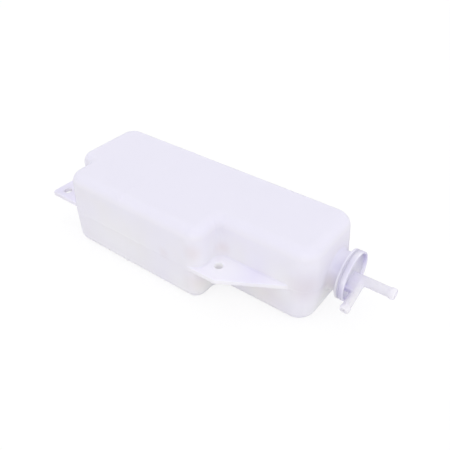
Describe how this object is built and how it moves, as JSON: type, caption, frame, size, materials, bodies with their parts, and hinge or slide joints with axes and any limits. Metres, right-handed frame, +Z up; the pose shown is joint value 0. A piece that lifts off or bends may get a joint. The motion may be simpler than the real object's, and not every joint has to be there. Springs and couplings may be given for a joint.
{
  "type": "coolant expansion tank",
  "caption": "Blow-moulded coolant expansion tank with a stepped outline, two mounting plates and a push-in cap that carries two hose pipes, a seal and a dip tube.",
  "frame": {"origin": "on the surface that the tank lies on, below the middle of the whole part's box", "axes": "+X along the tank and its neck, out of the cap; +Y from the front with the mounting plates to the back; +Z up as it lies"},
  "size_m": [0.3486, 0.1152, 0.0796],
  "materials": {
    "tank_plastic": "satin, milky and translucent",
    "cap_plastic": "satin",
    "seal_rubber": "matt",
    "tube_plastic": "satin, milky"
  },
  "bodies": {
    "tank": {"tank": "tank_plastic"},
    "cap": {"cap": "cap_plastic", "cap_seal": "seal_rubber", "dip_tube": "tube_plastic"}
  },
  "joints": [
    {"name": "cap_pull", "type": "slide", "parent": "tank", "child": "cap", "axis": [1, 0, 0], "range_m": [0, 0.3]}
  ]
}
